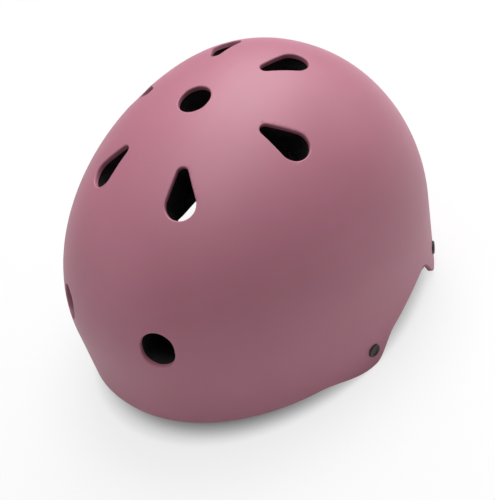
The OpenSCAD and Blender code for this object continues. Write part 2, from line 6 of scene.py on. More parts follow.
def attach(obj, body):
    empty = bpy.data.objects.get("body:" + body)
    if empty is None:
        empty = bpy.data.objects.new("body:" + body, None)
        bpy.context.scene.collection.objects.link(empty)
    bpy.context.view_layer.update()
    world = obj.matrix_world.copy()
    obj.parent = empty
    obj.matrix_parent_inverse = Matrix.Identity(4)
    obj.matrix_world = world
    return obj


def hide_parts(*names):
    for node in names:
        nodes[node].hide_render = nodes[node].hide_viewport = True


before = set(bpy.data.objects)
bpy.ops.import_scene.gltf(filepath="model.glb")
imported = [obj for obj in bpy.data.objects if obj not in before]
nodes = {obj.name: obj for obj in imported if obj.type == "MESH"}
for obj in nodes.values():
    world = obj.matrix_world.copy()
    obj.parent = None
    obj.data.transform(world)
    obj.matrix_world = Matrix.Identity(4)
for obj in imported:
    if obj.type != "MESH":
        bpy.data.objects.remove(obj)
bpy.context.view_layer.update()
scene = bpy.context.scene

# The camera, fitted to the photograph: lengths in its pixels, angles in degrees, place in metres
FOCAL_PX, WIDTH_PX, SENSOR_MM = 894.887, 495, 36
AZIMUTH, ELEVATION, ROLL = 50.9097, 41.3655, -15.7645
EYE = Vector((0.342059, -0.280108, 0.430556))

# Millimetres in a metre, and in a unit of a piece's own pattern
METRE, PATTERN_UNIT = 1000, 100

# The skin's formula and the walls, in millimetres
HALF_W, FRONT, BACK, CROWN, SKIRT = 105, 133, 118, 113.5, 56
SHIFT, SQUARE, WIDEN, WIDEN_OVER = 13.5, 2.12, 0.032, 100
Y_MID = (FRONT - BACK) / 2
WALL, RIM_EDGE, FOAM_GAP, FOAM, FOAM_EDGE = 3, 0.8, 0.6, 22, 1.5
LINER_OUT, LINER_IN = WALL + FOAM_GAP, WALL + FOAM_GAP + FOAM

# The edges of shell and liner, as stations of angle from the front and height over the table
RIM_FRONT, RIM_TEMPLE, TEMPLE_A = 17, 11.4, 64
TAB_ANGLE, TAB_FLAT, TAB_BACK = 82, 1, (90.5, 17)
CUT_A, CUT_H, NAPE_A = 109, 29, 124
FRONT_RIVET, REAR_RIVET = (82.2, 13.5), (124.8, 17.6)
LINER_RISE, ANCHOR_ROOM, ANCHOR_HALF = 5.5, 15, 9
RAMP_FRONT, RAMP_MIDDLE, RAMP_BACK = 24, 19, 26
FRONT_EDGE, REAR_EDGE = FRONT_RIVET[1] + ANCHOR_ROOM, REAR_RIVET[1] + ANCHOR_ROOM
SHELL_EDGE = [
    (0, RIM_FRONT), (TEMPLE_A, RIM_TEMPLE),
    (TAB_ANGLE - TAB_FLAT / 2, 0), (TAB_ANGLE + TAB_FLAT / 2, 0),
    TAB_BACK, (CUT_A, CUT_H), (NAPE_A, 0), (180, 0)]
LINER_EDGE = [
    (0, RIM_FRONT + LINER_RISE), (FRONT_RIVET[0] - RAMP_FRONT, RIM_TEMPLE + LINER_RISE),
    (FRONT_RIVET[0] - ANCHOR_HALF, FRONT_EDGE), (FRONT_RIVET[0] + ANCHOR_HALF, FRONT_EDGE),
    (REAR_RIVET[0] - RAMP_MIDDLE, REAR_EDGE), (REAR_RIVET[0] + ANCHOR_HALF, REAR_EDGE),
    (NAPE_A + RAMP_BACK, LINER_RISE), (180, LINER_RISE)]

# The vents, each as the radii of its wide end and its tip and its length, and their places.
# Their cutters go on past a wall, a little further on its rounded side
CROWN_AT, CROWN_VENT = np.array([0, -9.7]), (9.5, 9.5, 20)
VENT_RING, RING_ANGLES, DROP = 57, (30, 97.5, 155), (8.8, 3.5, 30)
ROUND_R, ROUND_TALL = 10, 2.4
ROUND_VENT = (ROUND_R, ROUND_R, 2 * ROUND_R + ROUND_TALL)
BROW_VENT, BACK_VENT = (21.4, 21.5), (15, 16)
VENT_STEP, SHELL_ROUND, FOAM_ROUND = 0.8, 0.9, 1.6
PAST_PLAIN, PAST_ROUND = 6, 8
RIVET_HOLE_R, PAST_RIVET = 2.3, 8

# The pads and the hook tape behind them
PAD_THICK, PAD_HALF, PATCH_THICK, PATCH_R, SEAT, LINER_SAG = 8, 17, 1, 9, 0.3, 0.41
PATCH_DEPTH = LINER_IN + LINER_SAG + SEAT
PAD_DEPTH = PATCH_DEPTH + PATCH_THICK + SEAT
CROWN_PAD_IN, CROWN_PAD_OUT, CROWN_CELLS = 14, 34, 6
VENT_ROOM, EDGE_ROOM, SIDE_AHEAD, PATCH_EASE = 2, 6, 10, 0.85
THIRDS, MIDDLE = (-1 / 3, 1 / 3), (0.0,)
BROW_AT = (0, BROW_VENT[1] - ROUND_R - ROUND_TALL / 2 - VENT_ROOM - PAD_HALF)
NAPE_AT = (180, BACK_VENT[1] - ROUND_R - ROUND_TALL / 2 - VENT_ROOM - PAD_HALF)
SIDE_A = (FRONT_RIVET[0] + REAR_RIVET[0]) / 2 - SIDE_AHEAD
SIDE_H = REAR_EDGE - SKIRT + EDGE_ROOM + PAD_HALF
LEFT_AT, RIGHT_AT = (SIDE_A, SIDE_H), (-SIDE_A, SIDE_H)

# The webbing, the dividers and the buckle's bar
WEB, WEB_THICK, WEB_GAP = 15, 1.4, 0.85
WEB_HOLE_R, PAST_WEB, WEB_ROLL, WEB_BULGE, WEAVE_BACK = 2.35, 4, 0.45, 0.5, 0.3
WEB_DEPTH = WALL + WEB_GAP + WEB_THICK / 2
FRONT_LEAN, FRONT_SLACK, REAR_LEAN, REAR_SLACK = 38, 6, 55, 10
OVER_RIVET, UNDER_RIVET, STRAP_LEAD, STRAP_DIP = 7, 5.6, 16, 1.0
DIVIDER_LEVEL, BUCKLE_LEVEL = 2.8, 4.8
DIVIDER_AT, CHIN_MOUTH, MOUTH_ANGLE = np.array([64.0, 16.0, DIVIDER_LEVEL]), 9.5, 42
CHIN_ANGLE, CHIN_LENGTH, LEFT_TAIL, RIGHT_TAIL = 16, 70, 18, 36
CHIN_LEVEL, CLIMB, BAR_RISE, JOIN = 4, 10, 12, 2
BAR_R, BAR_ROOM, LAYER_GAP = 1.5, 0.25, 0.3
WRAP = BAR_R + BAR_ROOM + WEB_THICK / 2
LAYER = WEB_THICK + LAYER_GAP

# The padded sleeve on the left chin strap
SLEEVE_START, SLEEVE_LENGTH, SLEEVE_HALF, SLEEVE_TALL = 16, 26, 12, 4.5
SLEEVE_END, SLEEVE_LIMP, SLEEVE_SEWN, SLEEVE_ROUND = 0.72, 0.9, 0.05, 6
SLOT_HALF, SLOT_TALL = 8.1, 1.2
HEM_HALF, HEM_TALL, HEM_R, HEM_INSET = 11.2, 3.0, 0.55, 0.7

# Stitches on the pads, and the stitched box by the buckle's bar
STITCH_START, STITCH_STOP, STITCH_PITCH = 2.2, 2, 3.1
STITCH_ARCH, STITCH_SUNK, STITCH_LIFT, STITCH_END = 0.25, 0.1, 0.05, 0.04
BOX_FAR, BOX_NEAR, BOX_HALF, BOX_PITCH, BOX_MARGIN = 17, 13.2, 5.6, 1.9, 0.8

# How finely things are drawn
WIDE_STEPS, TIP_STEPS, SIDE_STEPS, SIDE_CROWDING = 41, 21, 12, 10
LIP_ANGLES = np.radians([20, 45, 70, 90])
FLARE_ANGLES = np.radians([0, 20, 40, 60, 78])
HALVINGS, NEARLY_ONE = 40, 1 - 1e-9
UP = np.array([0, 0, 1.0])


def unit(v):
    v = np.asarray(v, float)
    return v / np.linalg.norm(v, axis=-1, keepdims=True)


def bulge(c):
    return np.sign(c) * np.abs(c) ** (2 / SQUARE)


def skin(u, h, inset=0.0):
    """Points of the helmet's skin.

    u is the angle from the front in degrees, and h the height over the widest line."""
    u, h = np.broadcast_arrays(np.radians(np.asarray(u, float)), np.asarray(h, float))
    t = np.clip(h / (CROWN - inset), 0, 1)
    r = np.sqrt(1 - t * t)
    reach = np.where(np.cos(u) > 0, FRONT, BACK) - inset
    y = -reach * r * bulge(np.cos(u))
    x = (HALF_W - inset) * r * bulge(np.sin(u)) * (1 + WIDEN * y / WIDEN_OVER)
    return np.stack([x, y + SHIFT * t * t + Y_MID, h + SKIRT], -1)


def skin_normal(u, h, inset=0.0):
    round_it = skin(u + 1, h, inset) - skin(u - 1, h, inset)
    up_it = skin(u, h + 1, inset) - skin(u, h - 1, inset)
    return unit(np.cross(round_it, up_it))


def outside(p, inset=0.0):
    """Below zero within the skin at that inset and above zero outside it."""
    h = p[..., 2] - SKIRT
    t = np.clip(h / (CROWN - inset), 0, None)
    v = p[..., 1] - Y_MID - SHIFT * np.clip(t, 0, 1) ** 2
    reach = np.where(v < 0, FRONT, BACK) - inset
    half = (HALF_W - inset) * (1 + WIDEN * v / WIDEN_OVER)
    oval = np.abs(p[..., 0] / half) ** SQUARE + np.abs(v / reach) ** SQUARE
    return oval ** (2 / SQUARE) + t * t - 1


def on_line(p, n, inset=0.0, low=-60.0, high=20.0):
    """Where lines from p along n meet the skin at that inset."""
    a, b = np.full(len(p), low), np.full(len(p), high)
    for _ in range(HALVINGS):
        m = (a + b) / 2
        inside = outside(p + m[:, None] * n, inset) < 0
        a, b = np.where(inside, m, a), np.where(inside, b, m)
    return p + a[:, None] * n


def over(x, y, inset=0.0):
    """The skin's points over places on the table."""
    x, y = np.broadcast_arrays(np.asarray(x, float), np.asarray(y, float))
    p = np.stack([x.ravel(), y.ravel(), np.full(x.size, SKIRT)], -1)
    return on_line(p, UP, inset, 0, CROWN).reshape(x.shape + (3,))


def over_normal(x, y, inset=0.0):
    across = over(x + 1, y, inset) - over(x - 1, y, inset)
    along_y = over(x, y + 1, inset) - over(x, y - 1, inset)
    return unit(np.cross(across, along_y))


def ease(t):
    return (1 - np.cos(np.pi * np.clip(t, 0, 1))) / 2


def edge_height(stations, u):
    """Heights along an edge: a smooth curve through its stations, level at each crest."""
    u = np.abs(np.where(u > 180, u - 360, u))
    rates = [(b[1] - a[1]) / (b[0] - a[0]) for a, b in zip(stations, stations[1:])]
    slopes = [0 if a * b <= 0 else 2 * a * b / (a + b) for a, b in zip(rates, rates[1:])]
    slopes = [0] + slopes + [0]
    out = np.full(u.shape, float(stations[-1][1]))
    for i in reversed(range(len(rates))):
        (a, ha), (b, hb) = stations[i], stations[i + 1]
        w, t = b - a, (u - a) / (b - a)
        curve = ((1 + 2 * t) * (1 - t) ** 2 * ha + t * t * (3 - 2 * t) * hb
                 + w * t * (1 - t) * ((1 - t) * slopes[i] - t * slopes[i + 1]))
        out = np.where(u <= b, curve, out)
    return out


def circle(count):
    return np.linspace(0, 2 * np.pi, count, endpoint=False)


def column(start, end, count):
    return np.linspace(start, end, count)[:, None]


def distance_along(line):
    """How far each point of a line is from its start, along it."""
    steps = np.linalg.norm(np.diff(line, axis=0), axis=1)
    return np.concatenate([[0], np.cumsum(steps)])


# Mesh helpers
def add_object(name, data):
    obj = bpy.data.objects.new(name, data)
    scene.collection.objects.link(obj)
    return obj


def soften(mesh, angle):
    """Smooth shading, except at edges sharper than the angle."""
    mesh.polygons.foreach_set("use_smooth", [True] * len(mesh.polygons))
    mesh.set_sharp_from_angle(angle=math.radians(angle))
    mesh.update()


def add_mesh(name, verts, faces, angle=40, uvs=None):
    """A mesh object from points in millimetres."""
    mesh = bpy.data.meshes.new(name)
    mesh.from_pydata((np.asarray(verts, float) / METRE).tolist(), [], faces)
    mesh.validate()
    obj = add_object(name, mesh)
    if uvs is not None:
        layer = mesh.uv_layers.new(name="UVMap")
        index = np.zeros(len(mesh.loops), int)
        mesh.loops.foreach_get("vertex_index", index)
        layer.data.foreach_set("uv", np.asarray(uvs, float)[index].astype(np.float32).ravel())
    soften(mesh, angle)
    return obj


def tube(rings):
    """Vertices and faces of a closed surface through rings that start and end in a point."""
    n = len(rings[1])
    verts = np.concatenate([np.reshape(r, (-1, 3)) for r in rings])
    faces = [(0, 1 + (i + 1) % n, 1 + i) for i in range(n)]
    start = 1
    for _ in range(len(rings) - 3):
        for i in range(n):
            k = (i + 1) % n
            faces.append((start + i, start + k, start + n + k, start + n + i))
        start += n
    faces += [(len(verts) - 1, start + i, start + (i + 1) % n) for i in range(n)]
    return verts, faces


def capped(rings):
    """The rings with a point at the middle of the first and of the last."""
    return [rings[0].mean(0)] + rings + [rings[-1].mean(0)]


def hoop_faces(n, k, flip=False):
    """Faces of a closed hoop of n rings with k points each."""
    faces = []
    for i in range(n):
        for j in range(k):
            i2, j2 = (i + 1) % n, (j + 1) % k
            a, b, c, d = i * k + j, i2 * k + j, i2 * k + j2, i * k + j2
            faces.append((a, d, c, b) if flip else (a, b, c, d))
    return faces


def joined(parts):
    """One mesh's vertices and faces from those of several."""
    verts, faces, start = [], [], 0
    for v, f in parts:
        verts.append(v)
        faces += [tuple(start + i for i in face) for face in f]
        start += len(v)
    return np.concatenate(verts), faces


def pin_rings(p, n, radius, reach, sides):
    """Rings of a pin through p along n, for a cutter."""
    a = circle(sides)[:, None]
    x = unit(np.cross(n, (0, 0, 1)))
    y = np.cross(n, x)
    ring = p + radius * (x * np.cos(a) - y * np.sin(a))
    return [p - reach * n, ring - reach * n, ring + reach * n, p + reach * n]


def face_outwards(mesh):
    work = bmesh.new()
    work.from_mesh(mesh)
    bmesh.ops.recalc_face_normals(work, faces=work.faces)
    work.to_mesh(mesh)
    work.free()


def apply_modifiers(obj):
    graph = bpy.context.evaluated_depsgraph_get()
    graph.update()
    mesh = bpy.data.meshes.new_from_object(obj.evaluated_get(graph))
    obj.modifiers.clear()
    obj.data = mesh


def cut(obj, cutters, angle):
    for c in cutters:
        mod = obj.modifiers.new("cut", "BOOLEAN")
        mod.operation, mod.object, mod.solver = "DIFFERENCE", c, "MANIFOLD"
    apply_modifiers(obj)
    for c in cutters:
        bpy.data.objects.remove(c)
    soften(obj.data, angle)


def paint(obj, mat):
    obj.data.materials.clear()
    obj.data.materials.append(mat)


def dress(obj, mat, body, slot, *replaced):
    """Fixes a piece to its body and gives it its material, in place of any CAD nodes named."""
    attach(obj, body)
    if replaced:
        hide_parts(*replaced)
    paint(obj, mat)


def domed_wall(edge, outer, inner, lip, around, rows, low):
    """A wall between two insets of the skin, closed by a rounded lip along its edge.

    It has rows rings above the widest line and low rings below it. Its columns stand closer
    together at the sides, where the edge bends most."""
    i = np.arange(around)
    u = 360 * i / around + SIDE_CROWDING * np.sin(4 * np.pi * i / around)
    foot = edge_height(edge, u) - SKIRT

    def sheet(inset, lift):
        top = CROWN - inset
        above = [skin(u, top * math.cos(math.pi / 2 * j / rows), inset) for j in range(1, rows + 1)]
        return above + [skin(u, (foot + lift) * j / low, inset) for j in range(1, low + 1)]

    rim = [skin(u, foot + lip * (1 - math.sin(a)), outer + lip * (1 - math.cos(a)))
           for a in LIP_ANGLES]
    rings = [skin(0, CROWN - outer, outer)] + sheet(outer, lip) + rim
    return tube(rings + sheet(inner, 0)[::-1] + [skin(0, CROWN - inner, inner)])


def drop_outline(wide, tip, long, grow):
    """A teardrop's outline about its middle, the wide end towards +X."""
    c_wide, c_tip = long / 2 - wide, tip - long / 2
    r_wide, r_tip = wide + grow, tip + grow
    turn = math.acos(np.clip((tip - wide) / (c_wide - c_tip), -1, 1))
    a = np.linspace(-turn, turn, WIDE_STEPS)
    b = np.linspace(turn, 2 * math.pi - turn, TIP_STEPS)
    end = np.stack([c_wide + r_wide * np.cos(a), r_wide * np.sin(a)], -1)
    head = np.stack([c_tip + r_tip * np.cos(b), r_tip * np.sin(b)], -1)
    side = np.linspace(0, 1, SIDE_STEPS)[1:-1, None]
    there, home = end[-1] * (1 - side) + head[0] * side, head[-1] * (1 - side) + end[0] * side
    return np.concatenate([end, there, head, home])


def vent_places():
    """Each vent's point on the skin, its normal, the way its wide end points, and its sizes."""
    yield over(*CROWN_AT), over_normal(*CROWN_AT), (0, 1, 0), *CROWN_VENT
    for angle in RING_ANGLES:
        for side in (-1, 1):
            out = np.array([side * math.sin(math.radians(angle)), -math.cos(math.radians(angle))])
            p = CROWN_AT + VENT_RING * out
            yield over(*p), over_normal(*p), (*out, 0), *DROP
    for side in (-1, 1):
        for u, h in ((side * BROW_VENT[0], BROW_VENT[1]), (180 - side * BACK_VENT[0], BACK_VENT[1])):
            yield skin(u, h), skin_normal(u, h), (0, 0, 1), *ROUND_VENT


def vent_cutters(grow, levels):
    """Cutters whose rings follow the skin. A level is (grow, inset of the skin, lift above it)."""
    for p, n, toward, wide, tip, long in vent_places():
        side = unit(np.cross(n, toward))
        ahead = np.cross(side, n)
        rings = []
        for more, inset, lift in levels:
            flat = drop_outline(wide, tip, long, grow + more)
            start = p + flat[:, :1] * ahead + flat[:, 1:] * side
            rings.append(on_line(start, n, inset) + lift * n)
        yield add_mesh("cutter", *tube(capped(rings)))


def rivet_holes():
    for angle, height in (FRONT_RIVET, REAR_RIVET):
        for side in (1, -1):
            at = (side * angle, height - SKIRT)
            pin = pin_rings(skin(*at), skin_normal(*at), RIVET_HOLE_R, PAST_RIVET, sides=32)
            yield add_mesh("cutter", *tube(pin))


def flare(radius, inset, up=1):
    """Levels that round an edge over, tangent to the vent's wall and nearly to the skin."""
    return [(radius * (1 - math.cos(a)), inset, -up * radius * (1 - math.sin(a))) for a in FLARE_ANGLES]


# Materials
def fill(tree, n, links=(), **values):
    """Sets a shader node's properties, whose names start with _, and its sockets by name."""
    for key, value in values.items():
        if key[0] == "_":
            setattr(n, key[1:], value)
    for key, value in values.items():
        if key[0] != "_":
            n.inputs[key].default_value = value
    for socket, source in dict(links).items():
        tree.links.new(source, n.inputs[socket])
    return n


def node(tree, kind, links=(), **values):
    return fill(tree, tree.nodes.new("ShaderNode" + kind), links, **values)


def material(name):
    """A new material, its node tree and its shader."""
    mat = bpy.data.materials.new(name)
    mat.use_nodes = True
    mat.node_tree.nodes.clear()
    shader = node(mat.node_tree, "BsdfPrincipled")
    node(mat.node_tree, "OutputMaterial", {0: shader.outputs[0]})
    return mat, mat.node_tree, shader


def place(tree):
    return node(tree, "TexCoord").outputs["Object"]


def noise(tree, where, scale, detail):
    return node(tree, "TexNoise", {"Vector": where}, Scale=scale, Detail=detail).outputs["Fac"]


def cells(tree, where, scale, output, feature="F1"):
    return node(tree, "TexVoronoi", {"Vector": where}, Scale=scale, _feature=feature).outputs[output]


def remap(tree, value, low, high, **ends):
    ends = {"To Min": low, "To Max": high, **ends}
    return node(tree, "MapRange", {"Value": value}, **ends).outputs["Result"]


def math2(tree, operation, a, b):
    return node(tree, "Math", {0: a, 1: b}, _operation=operation).outputs[0]


def ramp(tree, source, low, high, stops=(0.0, 1.0)):
    r = node(tree, "ValToRGB", {"Fac": source})
    for element, stop, colour in zip(r.color_ramp.elements, stops, (low, high)):
        element.position, element.color = stop, (*colour, 1)
    return r.outputs["Color"]


def bump(tree, height, strength, distance, before=None):
    """A normal from a height. The distance is in metres, and before is a normal under it."""
    links = {"Height": height} if before is None else {"Height": height, "Normal": before}
    return node(tree, "Bump", links, Strength=strength, Distance=distance).outputs["Normal"]


def rounded(tree, radius):
    """A normal that makes sharp edges look rounded by a radius in metres."""
    return node(tree, "Bevel", _samples=4, Radius=radius).outputs["Normal"]


# Depths of relief and the radius of moulded edges, in metres
GRAIN_DEEP, YARN_DEEP, BEAD_DEEP, HOOK_DEEP, EDGE_ROUND = 0.0002, 0.0004, 0.0003, 0.0005, 0.0004


def shell_plastic():
    """Satin pink plastic with a faint cloud and a fine grain."""
    mat, tree, shader = material("shell_plastic")
    where = place(tree)
    cloud = noise(tree, where, scale=14, detail=3)
    haze = noise(tree, where, scale=60, detail=4)
    grain = noise(tree, where, scale=2600, detail=2)
    fill(tree, shader, {
        "Base Color": ramp(tree, cloud, (0.475, 0.180, 0.246), (0.525, 0.200, 0.274), (0.3, 0.7)),
        "Roughness": remap(tree, haze, 0.46, 0.53),
        "Normal": bump(tree, grain, 0.12, GRAIN_DEEP, rounded(tree, EDGE_ROUND))})
    return mat


def liner_foam():
    """Black moulded foam, whose beads differ a little in tone and meet in shallow grooves."""
    mat, tree, shader = material("liner_foam")
    where, beads = place(tree), 330
    tone = cells(tree, where, beads, "Color")
    grooves = cells(tree, where, beads, "Distance", "DISTANCE_TO_EDGE")
    height = remap(tree, grooves, 0.0, 1.0, **{"From Max": 0.12})
    fill(tree, shader, {
        "Base Color": ramp(tree, tone, (0.022, 0.022, 0.0225), (0.036, 0.036, 0.037)),
        "Normal": bump(tree, height, 0.5, BEAD_DEEP)},
        **{"Roughness": 0.62, "Specular IOR Level": 0.25})
    return mat


def plastic(name, colour, rough, grain, bevel=EDGE_ROUND):
    """Moulded plastic with uneven tone and gloss and a fine grain."""
    mat, tree, shader = material(name)
    where = place(tree)
    cloud = noise(tree, where, scale=70, detail=4)
    pits = noise(tree, where, scale=1800, detail=3)
    light = tuple(c * 1.35 + 0.004 for c in colour)
    fill(tree, shader, {
        "Base Color": ramp(tree, cloud, colour, light, (0.35, 0.75)),
        "Roughness": remap(tree, cloud, rough - 0.05, rough + 0.08),
        "Normal": bump(tree, pits, grain, GRAIN_DEEP, rounded(tree, bevel))})
    return mat


# At scale 1 a wave texture repeats after this many millimetres of a piece's own pattern
WAVE_MM = 31.4


def turned(tree, angle=0.0):
    """The coordinates of a piece's own pattern, turned by an angle."""
    pattern = node(tree, "TexCoord").outputs["UV"]
    return node(tree, "Mapping", {"Vector": pattern}, Rotation=(0, 0, angle)).outputs["Vector"]


def wave(tree, vector, pitch, direction, distortion=0.0):
    """Bands that lie pitch millimetres apart."""
    w = node(tree, "TexWave", {"Vector": vector}, _bands_direction=direction,
             Scale=WAVE_MM / pitch, Distortion=distortion, Detail=1.0)
    return w.outputs["Fac"]


def knit(pitch):
    """Yarns that cross at 45 degrees to the pattern."""
    def yarns(tree):
        flat = turned(tree, math.pi / 4)
        return math2(tree, "MULTIPLY", *(wave(tree, flat, pitch, way, 0.4) for way in "XY"))
    return yarns


def ribs(tree):
    """Ribs of warp along a band, crossed by slanting rows of weft."""
    warp, weft = turned(tree), turned(tree, math.radians(28))
    return math2(tree, "MULTIPLY", wave(tree, warp, 0.95, "Y"), wave(tree, weft, 1.25, "X"))


def cloth(name, weave, relief, colours, stops, blotch, rough, fuzz, **finish):
    """Cloth whose yarns give its tone, roughness and relief, under a finer fuzz.

    blotch is a noise's scale and detail, and fuzz the same with a strength."""
    mat, tree, shader = material(name)
    yarns = weave(tree)
    cloud = noise(tree, place(tree), *blotch)
    tone = math2(tree, "MULTIPLY", math2(tree, "ADD", yarns, cloud), cloud)
    scale, detail, strength = fuzz
    under = bump(tree, yarns, relief, YARN_DEEP)
    hairs = noise(tree, place(tree), scale, detail)
    fill(tree, shader, {
        "Base Color": ramp(tree, tone, *colours, stops),
        "Roughness": remap(tree, yarns, *rough),
        "Normal": bump(tree, hairs, strength, GRAIN_DEEP, under)},
        **finish)
    return mat


def knit_cloth(name, pitch, relief, colours, rough, sheen):
    finish = {"Sheen Weight": sheen, "Sheen Roughness": 0.45, "Specular IOR Level": 0.2}
    return cloth(name, knit(pitch), relief, colours, stops=(0.15, 0.85), blotch=(60, 5),
                 rough=(rough + 0.06, rough - 0.06), fuzz=(2400, 3, 0.25), **finish)


def webbing_weave():
    colours = ((0.0075, 0.0075, 0.008), (0.034, 0.034, 0.036))
    finish = {"Sheen Weight": 0.12, "Specular IOR Level": 0.35}
    return cloth("webbing_weave", ribs, 0.8, colours, stops=(0.1, 0.8), blotch=(90, 4),
                 rough=(0.78, 0.55), fuzz=(3000, 2, 0.15), **finish)


def hook_tape():
    """Tape with a small hook in each cell."""
    mat, tree, shader = material("hook_tape")
    hooks = cells(tree, place(tree), 1500, "Distance")
    fill(tree, shader, {
        "Base Color": ramp(tree, hooks, (0.03, 0.03, 0.03), (0.006, 0.006, 0.006), (0.0, 0.7)),
        "Normal": bump(tree, remap(tree, hooks, 1.0, 0.0), 1.0, HOOK_DEEP)},
        **{"Roughness": 0.7, "Specular IOR Level": 0.3})
    return mat


PAD_BLACK = ((0.0085, 0.0085, 0.0095), (0.030, 0.030, 0.033))
BINDING_BLACK = ((0.007, 0.007, 0.0075), (0.022, 0.022, 0.024))
PAD_CLOTH = knit_cloth("pad_cloth", pitch=0.9, relief=0.5, colours=PAD_BLACK, rough=0.88, sheen=0.35)
BINDING = knit_cloth("pad_binding", pitch=0.6, relief=0.4, colours=BINDING_BLACK, rough=0.8, sheen=0.2)
THREAD = plastic("thread", (0.030, 0.030, 0.032), rough=0.6, grain=0.2, bevel=0.0001)
WEAVE = webbing_weave()


# Shell, liner and the plastic pieces that stay as they are in the CAD model
def add_shell():
    wall = domed_wall(SHELL_EDGE, 0, WALL, RIM_EDGE, around=240, rows=72, low=16)
    shell = add_mesh("shell", *wall)
    levels = [(0, WALL, -PAST_PLAIN)] + flare(SHELL_ROUND, 0) + [(SHELL_ROUND, 0, PAST_ROUND)]
    cut(shell, [*vent_cutters(0, levels), *rivet_holes()], angle=40)
    dress(shell, shell_plastic(), "helmet", "shell_plastic", "outer_shell")


def add_liner():
    wall = domed_wall(LINER_EDGE, LINER_OUT, LINER_IN, FOAM_EDGE, around=200, rows=60, low=12)
    liner = add_mesh("liner", *wall)
    levels = [(FOAM_ROUND, LINER_IN, -PAST_ROUND)] + flare(FOAM_ROUND, LINER_IN, -1)[::-1]
    cut(liner, [*vent_cutters(VENT_STEP, levels + [(0, LINER_OUT, PAST_PLAIN)])], angle=40)
    dress(liner, liner_foam(), "helmet", "liner_foam", "foam_liner")


def paint_hardware():
    black = plastic("hardware_plastic", (0.012, 0.012, 0.0125), rough=0.42, grain=0.25)
    rubber = plastic("keeper_rubber", (0.010, 0.010, 0.010), rough=0.6, grain=0.2)
    grey = plastic("rivet_plastic", (0.040, 0.036, 0.032), rough=0.38, grain=0.2)
    for name in ("strap_divider_left", "strap_divider_right", "buckle_socket", "buckle_plug",
                 "prong_front", "prong_rear"):
        paint(nodes[name], black)
    paint(nodes["strap_keeper"], rubber)
    for name in ("strap_rivets", "rivet_washers"):
        paint(nodes[name], grey)


# Soft pieces. The cloth simulation takes SIM metres for a millimetre of a piece's pattern
SIM, SIM_FRAMES, PRESSURE = 0.02, 20, 30
PAD_STRETCH, SLEEVE_STRETCH = 2.6, 0.8

# Heights of a pad's edge, its sewn channels and its underside, and its shape before the air
EDGE_HIGH, SEWN_HIGH, UNDER_HIGH = 1.9, 3.0, 0.1
LIMP, DIP, DIP_HALF, SEWN_HALF = 0.84, 0.52, 2.4, 0.4
RIM_SHARE, CORNER_PULL, PATTERN_EASE = 0.45, 0.159, 1.02
CORD_INSET, RING_CORD_INSET, CORD_R, CORD_TURN = 0.9, 0.8, 0.75, 0.7


def swell(r):
    """A pad's thickness as a share of its full one, from its middle (0) to its edge (1)."""
    return RIM_SHARE + (1 - RIM_SHARE) * np.sqrt(1 - np.clip(r, 0, 1) ** 4)


def coords(mesh):
    co = np.empty(len(mesh.vertices) * 3, np.float32)
    mesh.vertices.foreach_get("co", co)
    return co.reshape(-1, 3).astype(float)


def blow_up(obj, pinned, stretch):
    """Fills a closed cloth piece with air and gives its points in millimetres of the pattern.

    The pinned points stay, and the others move by no more than stretch millimetres."""
    start = coords(obj.data)
    obj.vertex_groups.new(name="held").add([int(i) for i in pinned], 1, "REPLACE")
    cloth_mod = obj.modifiers.new("cloth", "CLOTH")
    s = cloth_mod.settings
    s.quality, s.mass, s.air_damping = 6, 0.12, 2
    s.use_pressure, s.uniform_pressure_force = True, PRESSURE
    s.vertex_group_mass = "held"
    s.effector_weights.gravity = 0
    s.bending_stiffness = 0.2
    s.tension_stiffness = s.compression_stiffness = 8
    cloth_mod.collision_settings.use_collision = False
    cloth_mod.point_cache.frame_start, cloth_mod.point_cache.frame_end = 1, SIM_FRAMES
    for f in range(1, SIM_FRAMES + 1):
        scene.frame_set(f)
    apply_modifiers(obj)
    scene.frame_set(1)
    move = coords(obj.data) - start
    far = np.linalg.norm(move, axis=1, keepdims=True)
    return (start + move * np.minimum(1, stretch * SIM / np.maximum(far, 1e-9))) / SIM


def settle(obj, points):
    """Puts a blown-up piece's points in their places in the helmet and makes its mesh finer."""
    obj.data.vertices.foreach_set("co", (points / METRE).astype(np.float32).ravel())
    face_outwards(obj.data)
    obj.vertex_groups.clear()
    mod = obj.modifiers.new("finer", "SUBSURF")
    mod.levels = mod.render_levels = 1
    apply_modifiers(obj)
    soften(obj.data, angle=60)


def cord_mesh(name, loops, radius, sides, lay):
    """Piping along closed loops of pattern points, each with a height."""
    a = circle(sides)
    parts, uvs = [], []
    for loop in loops:
        ahead = unit(np.roll(loop, -1, 0) - np.roll(loop, 1, 0))
        out = np.stack([ahead[:, 1], -ahead[:, 0], 0 * ahead[:, 0]], -1)
        ring = loop[:, None] + radius * (out[:, None] * np.cos(a)[:, None] + UP * np.sin(a)[:, None])
        parts.append((lay(ring.reshape(-1, 3)), hoop_faces(len(loop), sides)))
        round_it = np.tile(np.arange(sides) * radius * CORD_TURN, len(loop))
        uvs.append(np.stack([np.repeat(distance_along(loop), sides), round_it], -1) / PATTERN_UNIT)
    return add_mesh(name, *joined(parts), angle=60, uvs=np.concatenate(uvs))


def stitch_mesh(name, spots, lay, long=2.1, radius=0.3):
    """Stitches: short bent threads at pairs of a pattern point and a direction."""
    a = circle(6)
    parts = []
    for p, d in spots:
        d = unit(d)
        side = np.array([d[1], -d[0], 0])
        around = side * np.cos(a)[:, None] + UP * np.sin(a)[:, None]
        rings = [p + d * long / 2 * s + (STITCH_ARCH * (1 - s * s) - STITCH_SUNK) * UP
                 + radius * math.sqrt(max(STITCH_END, 1 - s ** 4)) * around
                 for s in np.linspace(-1, 1, 7)]
        parts.append(tube(capped(rings)))
    verts, faces = joined(parts)
    return add_mesh(name, lay(verts), faces, angle=70)


